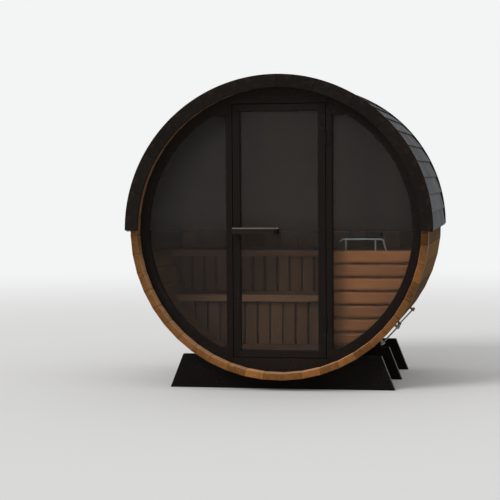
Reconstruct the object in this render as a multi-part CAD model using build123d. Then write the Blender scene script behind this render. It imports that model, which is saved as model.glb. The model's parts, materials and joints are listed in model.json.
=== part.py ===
from build123d import *

import os
from math import ceil, cos, degrees, radians, sin, sqrt, tan

# Barrel sauna lying on three cradles, in millimetres. X to the right, Y into the barrel, Z up.
# The origin is on the ground under the middle of the barrel, and the glazed front faces -Y.

# Fits
SEAT_GAP = 0.3
JOINT_GAP = 0.3

# Barrel shell
STAVE_COUNT = 48
STAVE_LENGTH = 1550
STAVE_INNER_RADIUS = 975
STAVE_THICKNESS = 45
TONGUE_HEIGHT = 5
TONGUE_SHOULDER = 10
TONGUE_TAPER = 4
CROZE_DEPTH = 8
FIRST_JOINT_ANGLE = -95.6
STAVES_PER_NODE = 8
BARREL_CLEARANCE = 80

# Steel hoops and their tension rods
HOOP_INSET = 75
HOOP_WIDTH = 25
HOOP_THICKNESS = 1.5
ROD_ANGLE = -43
ROD_LENGTH = 186
ROD_RADIUS = 5
ROD_SIDES = 12
ROD_STANDOFF = 20
LUG_HEIGHT = 34
LUG_LENGTH = 16
NUT_ACROSS_FLATS = 17
NUT_THICKNESS = 9

# Cradles
CRADLE_INSET = 160
CRADLE_THICKNESS = 50
CRADLE_RISE = 152
CRADLE_SHOULDER = 152
CRADLE_SPLAY = 92

# Roof shingles and the fascia over the ends
COURSES_PER_SIDE = 13
ROOF_BASE_THICKNESS = 14
ROOF_BUTT_THICKNESS = 24
FASCIA_OVERHANG = 8
FASCIA_THICKNESS = 25
FASCIA_LAP = 7
FASCIA_BOARDS = 12

# Front wall
FRONT_SETBACK = 95
FRONT_THICKNESS = 45
ARC_WIDTH = 60
HEADER_HEIGHT = 118
SILL_HEIGHT = 103
PANE_TOP_DROP = 73
PANE_BOTTOM_RISE = 60
POST_WIDTH = 40
ARC_CUTS = (-45, -15, 15, 45)
GLASS_THICKNESS = 8
GLASS_BITE = 12
STOP_WIDTH = 40
STOP_THICKNESS = 15
STOP_LAP = 20

# Door
DOOR_WIDTH = 640
DOOR_THICKNESS = 40
DOOR_GAP = 5
STILE_WIDTH = 48
TOP_RAIL_HEIGHT = 45
BOTTOM_RAIL_HEIGHT = 42

# Door handle
HANDLE_LENGTH = 322
HANDLE_HEIGHT = 46
HANDLE_THICKNESS = 24
HANDLE_STANDOFF = 30
HANDLE_BLOCK = 18
HANDLE_EDGE_INSET = 2
HANDLE_END_CUT = 30
HANDLE_TOP_STRIP = 12
HANDLE_RISE = 869
HANDLE_CHAMFER = 9

# Hinges
HINGE_INSET = 240
HINGE_LENGTH = 90
HINGE_LEAF_WIDTH = 28
HINGE_LEAF_THICKNESS = 2.5
KNUCKLE_RADIUS = 6
HINGE_PIN_RADIUS = 3
PIN_CLEARANCE = 0.08
KNUCKLE_GAP = 0.5

# Rear wall
REAR_SETBACK = 95
REAR_THICKNESS = 38
REAR_BOARDS = 15

# Floor
FLOOR_RISE = 135
FLOOR_SIDE_LAP = 20
FLOOR_SLAT_THICKNESS = 22
FLOOR_SLAT_WIDTH = 84
FLOOR_SLAT_COUNT = 5
FLOOR_RUNNER_WIDTH = 45
FLOOR_RUNNER_INSET = 60
FLOOR_END_GAP = 6

# Benches
LOWER_SEAT_HEIGHT = 354
UPPER_SEAT_STEP = 309
UPPER_DEPTH = 480
LOWER_DEPTH = 330
BENCH_BOARD_THICKNESS = 28
BENCH_BOARD_GAP = 8
NOSING_HEIGHT = 47
NOSING_THICKNESS = 20
UPPER_BOARDS = 5
LOWER_BOARDS = 3
BEARER_HEIGHT = 45
BEARER_LENGTH = 110
SKIRT_SETBACK = 32
SKIRT_SLAT_THICKNESS = 15
SKIRT_SLAT_WIDTH = 84
SKIRT_SLAT_GAP = 8.6
SKIRT_SHIFT = -14
SKIRT_LEAST_HEIGHT = 40
SKIRT_LEAST_WIDTH = 25
SKIRT_RAIL_HEIGHT = 36
SKIRT_RAIL_THICKNESS = 20
SKIRT_RAIL_RISE = 40

# Heater guard
GUARD_SLATS = 7
GUARD_SLAT_HEIGHT = 83
GUARD_SLAT_GAP = 11.5
GUARD_SLAT_THICKNESS = 20
GUARD_HEIGHT = 694
GUARD_SIDE_GAP = 27
GUARD_FRONT_GAP = 60
GUARD_POST_WIDTH = 40
GUARD_POST_SPACING = 320
RAIL_RISE = 84
RAIL_THICKNESS = 11
RAIL_SIDES = 8
RAIL_INSET = 75
RAIL_LENGTH = 262
RAIL_TAIL = 24
RAIL_TAIL_DROP = 16
RAIL_BEND = 14
RAIL_LEG_SPLAY = 20
RAIL_POST_INSET = 18
RAIL_POST_SPACING = 204

# Places worked out from the sizes above
HALF_STAVE_ANGLE = 180 / STAVE_COUNT
STAVE_OUTER_RADIUS = STAVE_INNER_RADIUS + STAVE_THICKNESS
STAVE_CORNER_RADIUS = STAVE_OUTER_RADIUS / cos(radians(HALF_STAVE_ANGLE))
AXIS_HEIGHT = STAVE_OUTER_RADIUS + BARREL_CLEARANCE
CRADLE_CURVE = STAVE_CORNER_RADIUS + SEAT_GAP
INSIDE_RADIUS = STAVE_INNER_RADIUS - SEAT_GAP
WALL_RADIUS = STAVE_INNER_RADIUS + CROZE_DEPTH - SEAT_GAP
HOOP_INSIDE = STAVE_OUTER_RADIUS + SEAT_GAP
HOOP_OUTSIDE = HOOP_INSIDE + HOOP_THICKNESS
HOOP_CORNER_RADIUS = HOOP_OUTSIDE / cos(radians(HALF_STAVE_ANGLE))
ROOF_INNER_RADIUS = HOOP_CORNER_RADIUS + SEAT_GAP
ROOF_OUTER_RADIUS = ROOF_INNER_RADIUS + ROOF_BUTT_THICKNESS
FASCIA_OUTER_RADIUS = ROOF_OUTER_RADIUS + FASCIA_OVERHANG
FASCIA_INNER_RADIUS = STAVE_INNER_RADIUS - FASCIA_LAP
FRONT_END = -STAVE_LENGTH / 2
REAR_END = STAVE_LENGTH / 2
WALL_FRONT = FRONT_END + FRONT_SETBACK
WALL_BACK = WALL_FRONT + FRONT_THICKNESS
REAR_OUTSIDE = REAR_END - REAR_SETBACK
REAR_INSIDE = REAR_OUTSIDE - REAR_THICKNESS
OPENING_HALF_WIDTH = DOOR_WIDTH / 2 + DOOR_GAP
OPENING_TOP = WALL_RADIUS - HEADER_HEIGHT
OPENING_BOTTOM = SILL_HEIGHT - WALL_RADIUS
DOOR_TOP = OPENING_TOP - DOOR_GAP
DOOR_BOTTOM = OPENING_BOTTOM + DOOR_GAP
POST_OUTSIDE = OPENING_HALF_WIDTH + POST_WIDTH
GLAZING_RADIUS = STAVE_INNER_RADIUS - ARC_WIDTH
GLAZING_TOP = DOOR_TOP - PANE_TOP_DROP
GLAZING_BOTTOM = DOOR_BOTTOM + PANE_BOTTOM_RISE
HINGE_X = DOOR_WIDTH / 2 + DOOR_GAP / 2
HINGE_Y = WALL_FRONT - KNUCKLE_RADIUS - KNUCKLE_GAP
FLOOR_LEVEL = FLOOR_RISE - STAVE_INNER_RADIUS
FLOOR_HALF_WIDTH = DOOR_WIDTH / 2 + FLOOR_SIDE_LAP
LOWER_LEVEL = FLOOR_LEVEL + LOWER_SEAT_HEIGHT
UPPER_LEVEL = LOWER_LEVEL + UPPER_SEAT_STEP
UPPER_FRONT = REAR_INSIDE - UPPER_DEPTH
LOWER_FRONT = UPPER_FRONT - LOWER_DEPTH
UPPER_SKIRT = UPPER_FRONT + SKIRT_SETBACK
LOWER_SKIRT = LOWER_FRONT + SKIRT_SETBACK
SKIRT_DEPTH = SKIRT_SLAT_THICKNESS + SKIRT_RAIL_THICKNESS
GUARD_TOP = FLOOR_LEVEL + GUARD_HEIGHT
GUARD_LEFT = OPENING_HALF_WIDTH + GUARD_SIDE_GAP
GUARD_FRONT = WALL_BACK + GUARD_FRONT_GAP
FAR = 3 * FASCIA_OUTER_RADIUS


def polar(radius, angle):
    return (radius * cos(radians(angle)), radius * sin(radians(angle)))


def sector(inner, outer, start, end):
    middle = (start + end) / 2
    edges = [
        Line(polar(inner, start), polar(outer, start)),
        ThreePointArc(polar(outer, start), polar(outer, middle), polar(outer, end)),
        Line(polar(outer, end), polar(inner, end)),
        ThreePointArc(polar(inner, end), polar(inner, middle), polar(inner, start)),
    ]
    return make_face(edges)


def wedge(start, end):
    corners = [(0, 0), polar(FAR, start), polar(FAR, end)]
    return make_face(Polyline(*corners, close=True))


def block(left, right, bottom, top):
    centre = Pos((left + right) / 2, (bottom + top) / 2)
    return centre * Rectangle(right - left, top - bottom)


# Stands an outline drawn about the barrel's axis upright and gives it depth along Y
def slab(outline, near, far):
    upright = Pos(0, near, AXIS_HEIGHT) * Rot(90, 0, 0)
    return upright * extrude(outline, amount=near - far)


def write(name, *shapes):
    pieces = [piece for shape in shapes for piece in shape.solids()]
    whole = pieces[0] if len(pieces) == 1 else Compound(children=pieces)
    export_step(whole, f"parts/{name}.step")


def arc_gap(radius):
    return degrees(JOINT_GAP / 2 / radius)


# Staves: flat boards with a tongue on one edge, a groove in the other and a groove for each end wall
def stave_outline():
    inner, outer = STAVE_INNER_RADIUS, STAVE_OUTER_RADIUS
    low, high = inner + TONGUE_SHOULDER, outer - TONGUE_SHOULDER

    def edge(radius, side, rise=0.0):
        corner = Vector(radius / cos(radians(HALF_STAVE_ANGLE)), rise - side * JOINT_GAP / 2)
        return corner.rotate(Axis.Z, side * HALF_STAVE_ANGLE)

    def joint(side):
        return [
            edge(inner, side),
            edge(low, side),
            edge(low + TONGUE_TAPER, side, TONGUE_HEIGHT),
            edge(high - TONGUE_TAPER, side, TONGUE_HEIGHT),
            edge(high, side),
            edge(outer, side),
        ]

    return make_face(Polyline(*joint(1), *reversed(joint(-1)), close=True))


def stave():
    board = extrude(stave_outline(), amount=-STAVE_LENGTH)
    width = 2 * STAVE_THICKNESS + 2 * STAVE_OUTER_RADIUS * tan(radians(HALF_STAVE_ANGLE))
    for near, far in ((WALL_FRONT, WALL_BACK), (REAR_INSIDE, REAR_OUTSIDE)):
        start = near - SEAT_GAP - FRONT_END
        length = far - near + 2 * SEAT_GAP
        groove = Box(2 * CROZE_DEPTH, width, length)
        board -= Pos(STAVE_INNER_RADIUS, 0, -start - length / 2) * groove
    return board


def stave_nodes():
    board = stave()
    upright = Pos(0, FRONT_END, AXIS_HEIGHT) * Rot(90, 0, 0)
    for first in range(0, STAVE_COUNT, STAVES_PER_NODE):
        group = range(first, min(first + STAVES_PER_NODE, STAVE_COUNT))
        turns = [FIRST_JOINT_ANGLE + (2 * k + 1) * HALF_STAVE_ANGLE for k in group]
        staves = [upright * Rot(0, 0, turn) * board for turn in turns]
        write(f"staves_{first // STAVES_PER_NODE + 1}", *staves)


# Hoops: a thin band pulled flat over the staves, with a drilled lug at each end and a threaded rod
def rod_line(centre):
    place = polar(STAVE_OUTER_RADIUS + ROD_STANDOFF, ROD_ANGLE)
    upright = Pos(0, centre, AXIS_HEIGHT) * Rot(90, 0, 0)
    return upright * Pos(*place) * Rot(0, 0, ROD_ANGLE) * Rot(90, 0, 0)


# Angles from the rod's middle to a lug's middle, and across half a lug
def lug_angles():
    half_lug = LUG_LENGTH / 2
    reach = ROD_LENGTH / 2 - NUT_THICKNESS - half_lug - ROD_RADIUS
    return degrees(reach / STAVE_OUTER_RADIUS), degrees(half_lug / STAVE_OUTER_RADIUS)


def round_bar(radius, length):
    section = RegularPolygon(radius, ROD_SIDES, major_radius=False)
    return Pos(0, 0, -length / 2) * extrude(section, length)


def ring_of_flats(apothem):
    return Rot(0, 0, FIRST_JOINT_ANGLE) * RegularPolygon(apothem, STAVE_COUNT, major_radius=False)


def hoop(centre):
    offset, half = lug_angles()
    inside = ring_of_flats(HOOP_INSIDE)
    outline = ring_of_flats(HOOP_OUTSIDE) - inside - wedge(ROD_ANGLE - offset, ROD_ANGLE + offset)
    for turn in (ROD_ANGLE - offset, ROD_ANGLE + offset):
        lug = block(STAVE_INNER_RADIUS, HOOP_OUTSIDE + LUG_HEIGHT, -LUG_LENGTH / 2, LUG_LENGTH / 2)
        outline += Rot(0, 0, turn) * lug - inside
    band = slab(outline, centre - HOOP_WIDTH / 2, centre + HOOP_WIDTH / 2)
    return band - rod_line(centre) * round_bar(ROD_RADIUS + SEAT_GAP, 2 * ROD_LENGTH)


def tension_rod(centre):
    offset, half = lug_angles()
    top_of_nut = STAVE_OUTER_RADIUS + ROD_STANDOFF + NUT_ACROSS_FLATS / 2
    seat = top_of_nut * tan(radians(offset + half)) + SEAT_GAP
    rod = round_bar(ROD_RADIUS, ROD_LENGTH)
    nut = extrude(RegularPolygon(NUT_ACROSS_FLATS / 2, 6, major_radius=False), NUT_THICKNESS)
    for turn in (0, 180):
        rod += Rot(turn, 0, 0) * Pos(0, 0, seat) * nut
    return rod_line(centre) * rod


def hoop_nodes():
    places = (FRONT_END + HOOP_INSET, REAR_END - HOOP_INSET)
    write("hoops", *[hoop(place) for place in places])
    write("tension_rods", *[tension_rod(place) for place in places])


# Cradles: thick boards with slanted ends and a hollow that the barrel lies in
def cradle(near):
    ground = -AXIS_HEIGHT
    top = CRADLE_RISE - STAVE_OUTER_RADIUS
    shoulder = sqrt(CRADLE_CURVE**2 - top**2) + CRADLE_SHOULDER
    foot = shoulder + CRADLE_SPLAY
    corners = [(-foot, ground), (foot, ground), (shoulder, top), (-shoulder, top)]
    outline = make_face(Polyline(*corners, close=True)) - Circle(CRADLE_CURVE)
    return slab(outline, near, near + CRADLE_THICKNESS)


def cradle_nodes():
    write("cradle_front", cradle(FRONT_END + CRADLE_INSET))
    write("cradle_middle", cradle(-CRADLE_THICKNESS / 2))
    write("cradle_rear", cradle(REAR_END - CRADLE_INSET - CRADLE_THICKNESS))


# Roof: shingle courses over the upper half, each with its thick edge down, and a cap on the ridge
def course_outline(start, end, thick, thin):
    edges = [
        Line(polar(ROOF_INNER_RADIUS, start), polar(ROOF_INNER_RADIUS + thick, start)),
        Line(polar(ROOF_INNER_RADIUS + thick, start), polar(ROOF_INNER_RADIUS + thin, end)),
        Line(polar(ROOF_INNER_RADIUS + thin, end), polar(ROOF_INNER_RADIUS, end)),
        ThreePointArc(
            polar(ROOF_INNER_RADIUS, end),
            polar(ROOF_INNER_RADIUS, (start + end) / 2),
            polar(ROOF_INNER_RADIUS, start),
        ),
    ]
    return make_face(edges)


def roof_nodes():
    pitch = 180 / (2 * COURSES_PER_SIDE + 1)
    gap = arc_gap(ROOF_INNER_RADIUS)
    right = []
    for k in range(COURSES_PER_SIDE):
        outline = course_outline(
            k * pitch + gap, (k + 1) * pitch - gap, ROOF_BUTT_THICKNESS, ROOF_BASE_THICKNESS
        )
        right.append(slab(outline, FRONT_END, REAR_END))
    write("roof_right", *right)
    write("roof_left", *[mirror(course, about=Plane.YZ) for course in right])
    low, high = 90 - pitch / 2 + gap, 90 + pitch / 2 - gap
    cap = sector(ROOF_INNER_RADIUS, ROOF_OUTER_RADIUS, low, high)
    write("roof_ridge", slab(cap, FRONT_END, REAR_END))


# Fascia: curved boards over the ends of the staves and the roof, on the upper half only
def fascia_nodes():
    pitch = 180 / FASCIA_BOARDS
    gap = arc_gap(FASCIA_INNER_RADIUS)
    faces = [
        sector(FASCIA_INNER_RADIUS, FASCIA_OUTER_RADIUS, k * pitch + gap, (k + 1) * pitch - gap)
        for k in range(FASCIA_BOARDS)
    ]
    write("fascia_front", *[slab(face, FRONT_END - FASCIA_THICKNESS, FRONT_END) for face in faces])
    write("fascia_rear", *[slab(face, REAR_END, REAR_END + FASCIA_THICKNESS) for face in faces])


# Front wall: posts, header and sill round the doorway, curved boards round a pane on each side
def pane_outline():
    return Circle(GLAZING_RADIUS) & block(POST_OUTSIDE, FAR, GLAZING_BOTTOM, GLAZING_TOP)


def glass_outline():
    return offset(pane_outline(), GLASS_BITE)


def glass_groove():
    near = (WALL_FRONT + WALL_BACK - GLASS_THICKNESS) / 2 - SEAT_GAP
    outline = offset(pane_outline(), GLASS_BITE + SEAT_GAP)
    return slab(outline, near, near + GLASS_THICKNESS + 2 * SEAT_GAP)


def front_wall_nodes():
    disc = Circle(WALL_RADIUS)
    groove = glass_groove()
    gap = arc_gap(GLAZING_RADIUS)

    header = disc & block(-OPENING_HALF_WIDTH, OPENING_HALF_WIDTH, OPENING_TOP, FAR)
    sill = disc & block(-OPENING_HALF_WIDTH, OPENING_HALF_WIDTH, -FAR, OPENING_BOTTOM)
    write("front_header", slab(header, WALL_FRONT, WALL_BACK))
    write("front_sill", slab(sill, WALL_FRONT, WALL_BACK))

    post = slab(disc & block(OPENING_HALF_WIDTH, POST_OUTSIDE, -FAR, FAR), WALL_FRONT, WALL_BACK)
    post -= groove
    write("front_posts", post, mirror(post, about=Plane.YZ))

    ring = (disc & block(POST_OUTSIDE, FAR, -FAR, FAR)) - pane_outline()
    bounds = (-89, *ARC_CUTS, 89)
    arcs = [
        slab(ring & wedge(start + gap, end - gap), WALL_FRONT, WALL_BACK) - groove
        for start, end in zip(bounds, bounds[1:])
    ]
    write("front_arc_right", *arcs)
    write("front_arc_left", *[mirror(arc, about=Plane.YZ) for arc in arcs])

    near = (WALL_FRONT + WALL_BACK - GLASS_THICKNESS) / 2
    pane = slab(glass_outline(), near, near + GLASS_THICKNESS)
    write("side_glass_right", pane)
    write("side_glass_left", mirror(pane, about=Plane.YZ))

    far = WALL_BACK + STOP_THICKNESS
    inner, under = OPENING_HALF_WIDTH - STOP_LAP, OPENING_TOP - STOP_LAP
    outer = inner + STOP_WIDTH
    upright = slab(block(inner, outer, FLOOR_LEVEL + SEAT_GAP, under), WALL_BACK, far)
    level = slab(block(-outer, outer, under, under + STOP_WIDTH), WALL_BACK, far)
    write("door_stops", upright, mirror(upright, about=Plane.YZ), level)


# Door: stiles and rails grooved for one tall pane, hung on its right edge
def door_glass_box():
    half = DOOR_WIDTH / 2 - STILE_WIDTH + GLASS_BITE
    bottom = DOOR_BOTTOM + BOTTOM_RAIL_HEIGHT - GLASS_BITE
    top = DOOR_TOP - TOP_RAIL_HEIGHT + GLASS_BITE
    near = WALL_FRONT + (DOOR_THICKNESS - GLASS_THICKNESS) / 2
    return half, bottom, top, near


def door_nodes():
    half, bottom, top, near = door_glass_box()
    far = WALL_FRONT + DOOR_THICKNESS
    grown = block(-half - SEAT_GAP, half + SEAT_GAP, bottom - SEAT_GAP, top + SEAT_GAP)
    groove = slab(grown, near - SEAT_GAP, near + GLASS_THICKNESS + SEAT_GAP)
    edge, inside = DOOR_WIDTH / 2, DOOR_WIDTH / 2 - STILE_WIDTH

    write("door_stile_hinge", slab(block(inside, edge, DOOR_BOTTOM, DOOR_TOP), WALL_FRONT, far) - groove)
    write("door_stile_handle", slab(block(-edge, -inside, DOOR_BOTTOM, DOOR_TOP), WALL_FRONT, far) - groove)
    lower = block(-inside, inside, DOOR_BOTTOM, DOOR_BOTTOM + BOTTOM_RAIL_HEIGHT)
    upper = block(-inside, inside, DOOR_TOP - TOP_RAIL_HEIGHT, DOOR_TOP)
    write("door_rails", *[slab(rail, WALL_FRONT, far) - groove for rail in (lower, upper)])
    write("door_glass", slab(block(-half, half, bottom, top), near, near + GLASS_THICKNESS))
    write("door_handle", door_handle())
    write("door_handle_blocks", *handle_blocks(near))


def handle_box():
    left = HANDLE_EDGE_INSET - DOOR_WIDTH / 2
    middle = DOOR_BOTTOM + HANDLE_RISE
    return left, left + HANDLE_LENGTH, middle - HANDLE_HEIGHT / 2, middle + HANDLE_HEIGHT / 2


def door_handle():
    left, right, bottom, top = handle_box()
    far = WALL_FRONT - HANDLE_STANDOFF
    near = far - HANDLE_THICKNESS
    outline = block(left, right - HANDLE_END_CUT, bottom, top) + block(left, right, top - HANDLE_TOP_STRIP, top)
    bar = slab(outline, near, far)
    return chamfer(bar.edges().filter_by(Axis.X).group_by(Axis.Z)[-1].sort_by(Axis.Y)[0], HANDLE_CHAMFER)


def handle_blocks(glass_face):
    left, right, bottom, top = handle_box()
    far = WALL_FRONT - HANDLE_STANDOFF
    under = top - HANDLE_TOP_STRIP
    on_stile = slab(block(left + HANDLE_BLOCK, left + 2 * HANDLE_BLOCK, bottom, top), far, WALL_FRONT)
    start = right - HANDLE_END_CUT + (HANDLE_END_CUT - HANDLE_BLOCK) / 2
    on_glass = slab(block(start, start + HANDLE_BLOCK, bottom, under), far - HANDLE_THICKNESS, glass_face)
    return on_stile, on_glass


# Hinges: one leaf and the middle knuckle on the door, the other leaf, knuckles and pin on the post
def knuckle(bottom, top):
    return Pos(HINGE_X, HINGE_Y, (bottom + top) / 2) * Cylinder(KNUCKLE_RADIUS, top - bottom)


def upright_block(left, right, near, far, bottom, top):
    centre = Pos((left + right) / 2, (near + far) / 2, (bottom + top) / 2)
    return centre * Box(right - left, far - near, top - bottom)


def hinge_pair(level):
    middle = AXIS_HEIGHT + level
    bottom, top = middle - HINGE_LENGTH / 2, middle + HINGE_LENGTH / 2
    third = HINGE_LENGTH / 3
    low, high = bottom + third, top - third
    face, skin = WALL_FRONT - HINGE_LEAF_THICKNESS, WALL_FRONT
    clear = KNUCKLE_RADIUS + KNUCKLE_GAP

    bore = Pos(HINGE_X, HINGE_Y, middle)
    bore *= Cylinder(HINGE_PIN_RADIUS + PIN_CLEARANCE, 2 * HINGE_LENGTH)
    tongue_low, tongue_high = low + KNUCKLE_GAP / 2, high - KNUCKLE_GAP / 2
    moving = upright_block(HINGE_X - clear - HINGE_LEAF_WIDTH, HINGE_X - clear, face, skin, bottom, top)
    moving += upright_block(HINGE_X - clear, HINGE_X, face, skin, tongue_low, tongue_high)
    moving += knuckle(tongue_low, tongue_high)
    moving -= bore

    fixed = upright_block(HINGE_X + clear, HINGE_X + clear + HINGE_LEAF_WIDTH, face, skin, bottom, top)
    for start, end in ((bottom, low - KNUCKLE_GAP / 2), (high + KNUCKLE_GAP / 2, top)):
        fixed += upright_block(HINGE_X, HINGE_X + clear, face, skin, start, end)
        fixed += knuckle(start, end)
    fixed += Pos(HINGE_X, HINGE_Y, middle) * Cylinder(HINGE_PIN_RADIUS, HINGE_LENGTH)
    return moving, fixed


def hinge_nodes():
    pairs = [hinge_pair(level) for level in (DOOR_BOTTOM + HINGE_INSET, DOOR_TOP - HINGE_INSET)]
    write("hinges_door", *[moving for moving, fixed in pairs])
    write("hinges_frame", *[fixed for moving, fixed in pairs])


# Rear wall: upright boards in the rear groove of the staves
def rear_wall_nodes():
    pitch = 2 * WALL_RADIUS / REAR_BOARDS
    disc = Circle(WALL_RADIUS)
    boards = []
    for k in range(REAR_BOARDS):
        left = -WALL_RADIUS + k * pitch
        face = disc & block(left + JOINT_GAP / 2, left + pitch - JOINT_GAP / 2, -FAR, FAR)
        boards.append(slab(face, REAR_INSIDE, REAR_OUTSIDE))
    write("rear_wall", *boards)


# Floor: slats across the walkway on two runners that lie on the staves
def floor_nodes():
    inside = Circle(INSIDE_RADIUS)
    near, far = WALL_BACK + FLOOR_END_GAP, LOWER_SKIRT - FLOOR_END_GAP
    spare = far - near - FLOOR_SLAT_COUNT * FLOOR_SLAT_WIDTH
    pitch = FLOOR_SLAT_WIDTH + spare / (FLOOR_SLAT_COUNT - 1)
    underside = FLOOR_LEVEL - FLOOR_SLAT_THICKNESS
    slat = block(-FLOOR_HALF_WIDTH, FLOOR_HALF_WIDTH, underside, FLOOR_LEVEL)
    starts = [near + k * pitch for k in range(FLOOR_SLAT_COUNT)]
    write("floor_slats", *[slab(slat, start, start + FLOOR_SLAT_WIDTH) for start in starts])
    outside = FLOOR_HALF_WIDTH - FLOOR_RUNNER_INSET
    runner = inside & block(outside - FLOOR_RUNNER_WIDTH, outside, -FAR, underside)
    rail = slab(runner, near, far)
    write("floor_runners", rail, mirror(rail, about=Plane.YZ))


# Benches: two tiers of boards across the rear, on bearers against the staves and a middle support
def seat_boards(level, front, back, count):
    inside = Circle(INSIDE_RADIUS)
    board = inside & block(-FAR, FAR, level - BENCH_BOARD_THICKNESS, level)
    near = front + NOSING_THICKNESS
    width = (back - near - (count - 1) * BENCH_BOARD_GAP) / count
    starts = [near + k * (width + BENCH_BOARD_GAP) for k in range(count)]
    return [slab(board, start, start + width) for start in starts]


def nosing(level, front):
    face = Circle(INSIDE_RADIUS) & block(-FAR, FAR, level - NOSING_HEIGHT, level)
    return slab(face, front, front + NOSING_THICKNESS)


def bearers(level, near, far):
    top = level - BENCH_BOARD_THICKNESS
    reach = sqrt(INSIDE_RADIUS**2 - top**2)
    inside = Circle(INSIDE_RADIUS)
    end = inside & block(reach - BEARER_LENGTH, FAR, top - BEARER_HEIGHT, top)
    bearer = slab(end, near, far)
    middle = inside & block(-BEARER_HEIGHT / 2, BEARER_HEIGHT / 2, -FAR, top)
    return [bearer, mirror(bearer, about=Plane.YZ), slab(middle, near, far)]


# Upright boards from wall to wall, each with its foot cut along the staves
def skirt_slats(bottom, top, near):
    pitch = SKIRT_SLAT_WIDTH + SKIRT_SLAT_GAP
    reach = sqrt(INSIDE_RADIUS**2 - (top - SKIRT_LEAST_HEIGHT) ** 2)
    count = ceil(reach / pitch)
    slats = []
    for k in range(-count, count + 1):
        middle = SKIRT_SHIFT + k * pitch
        left = max(middle - SKIRT_SLAT_WIDTH / 2, -reach)
        right = min(middle + SKIRT_SLAT_WIDTH / 2, reach)
        if right - left < SKIRT_LEAST_WIDTH:
            continue
        left_foot = max(bottom, -sqrt(INSIDE_RADIUS**2 - left**2))
        right_foot = max(bottom, -sqrt(INSIDE_RADIUS**2 - right**2))
        corners = [(left, top), (left, left_foot), (right, right_foot), (right, top)]
        slats.append(slab(make_face(Polyline(*corners, close=True)), near, near + SKIRT_SLAT_THICKNESS))
    return slats


def skirt_rail(bottom, near):
    face = Circle(INSIDE_RADIUS) & block(-FAR, FAR, bottom, bottom + SKIRT_RAIL_HEIGHT)
    return slab(face, near, near + SKIRT_RAIL_THICKNESS)


def bench_nodes():
    lower_under = LOWER_LEVEL - BENCH_BOARD_THICKNESS
    upper_under = UPPER_LEVEL - BENCH_BOARD_THICKNESS
    lower_back = UPPER_SKIRT + SKIRT_DEPTH
    write("bench_upper_seat", *seat_boards(UPPER_LEVEL, UPPER_FRONT, REAR_INSIDE, UPPER_BOARDS))
    write("bench_lower_seat", *seat_boards(LOWER_LEVEL, LOWER_FRONT, lower_back, LOWER_BOARDS))
    nosings = (nosing(UPPER_LEVEL, UPPER_FRONT), nosing(LOWER_LEVEL, LOWER_FRONT))
    write("bench_nosings", *nosings)
    supports = bearers(UPPER_LEVEL, lower_back + SEAT_GAP, REAR_INSIDE - SEAT_GAP)
    supports += bearers(LOWER_LEVEL, LOWER_SKIRT + SKIRT_DEPTH, lower_back)
    write("bench_supports", *supports)

    write("bench_upper_skirt", *skirt_slats(LOWER_LEVEL, upper_under, UPPER_SKIRT))
    write("bench_lower_skirt", *skirt_slats(-INSIDE_RADIUS, lower_under, LOWER_SKIRT))
    behind_upper = UPPER_SKIRT + SKIRT_SLAT_THICKNESS
    behind_lower = LOWER_SKIRT + SKIRT_SLAT_THICKNESS
    rails = [
        skirt_rail(LOWER_LEVEL, behind_upper),
        skirt_rail(upper_under - SKIRT_RAIL_HEIGHT, behind_upper),
        skirt_rail(FLOOR_LEVEL + SKIRT_RAIL_RISE, behind_lower),
        skirt_rail(lower_under - SKIRT_RAIL_HEIGHT, behind_lower),
    ]
    write("bench_skirt_rails", *rails)


# Heater guard: level slats on two posts behind the right-hand pane, with a thin steel rail above
def guard_nodes():
    inside = Circle(INSIDE_RADIUS)
    pitch = GUARD_SLAT_HEIGHT + GUARD_SLAT_GAP
    slats = []
    for k in range(GUARD_SLATS):
        top = GUARD_TOP - k * pitch
        face = inside & block(GUARD_LEFT, FAR, top - GUARD_SLAT_HEIGHT, top)
        slats.append(slab(face, GUARD_FRONT, GUARD_FRONT + GUARD_SLAT_THICKNESS))
    write("guard_slats", *slats)

    back = GUARD_FRONT + GUARD_SLAT_THICKNESS
    posts = []
    for left in (GUARD_LEFT, GUARD_LEFT + GUARD_POST_SPACING):
        face = inside & block(left, left + GUARD_POST_WIDTH, -FAR, GUARD_TOP)
        posts.append(slab(face, back, back + GUARD_POST_WIDTH))
    write("guard_posts", *posts)
    write("guard_rail", guard_rail(GUARD_FRONT + GUARD_SLAT_THICKNESS / 2))


# The rail: a level bar on two thin posts, its left end bent down a little, its right end down to the slat
def guard_rail(depth):
    left = GUARD_LEFT + RAIL_INSET
    right = left + RAIL_LENGTH
    foot = AXIS_HEIGHT + GUARD_TOP
    level = foot + RAIL_RISE - RAIL_THICKNESS / 2
    lean = RAIL_LEG_SPLAY * RAIL_BEND / (level - foot)
    route = [
        (left - RAIL_TAIL, depth, level - RAIL_TAIL_DROP),
        (left, depth, level),
        (right, depth, level),
        (right + RAIL_BEND, depth, level - RAIL_BEND / 2),
        (right + RAIL_BEND + lean, depth, level - 2 * RAIL_BEND),
        (right + RAIL_BEND + RAIL_LEG_SPLAY, depth, foot),
    ]
    section = RegularPolygon(RAIL_THICKNESS / 2, RAIL_SIDES, major_radius=False)
    path = Polyline(*route)
    start = Plane(origin=path @ 0, z_dir=path % 0)
    bar = sweep(start * section, path=path, transition=Transition.RIGHT)
    bar -= Pos(0, 0, foot - RAIL_RISE) * Box(FAR, FAR, 2 * RAIL_RISE)
    for place in (left + RAIL_POST_INSET, left + RAIL_POST_INSET + RAIL_POST_SPACING):
        bar += Pos(place, depth, foot) * extrude(section, level - foot)
    return bar


def main():
    os.makedirs("parts", exist_ok=True)
    stave_nodes()
    hoop_nodes()
    cradle_nodes()
    roof_nodes()
    fascia_nodes()
    front_wall_nodes()
    door_nodes()
    hinge_nodes()
    rear_wall_nodes()
    floor_nodes()
    bench_nodes()
    guard_nodes()


main()
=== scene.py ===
import json
import math
import random

import bmesh
import bpy
from mathutils import Matrix, Vector


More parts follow.
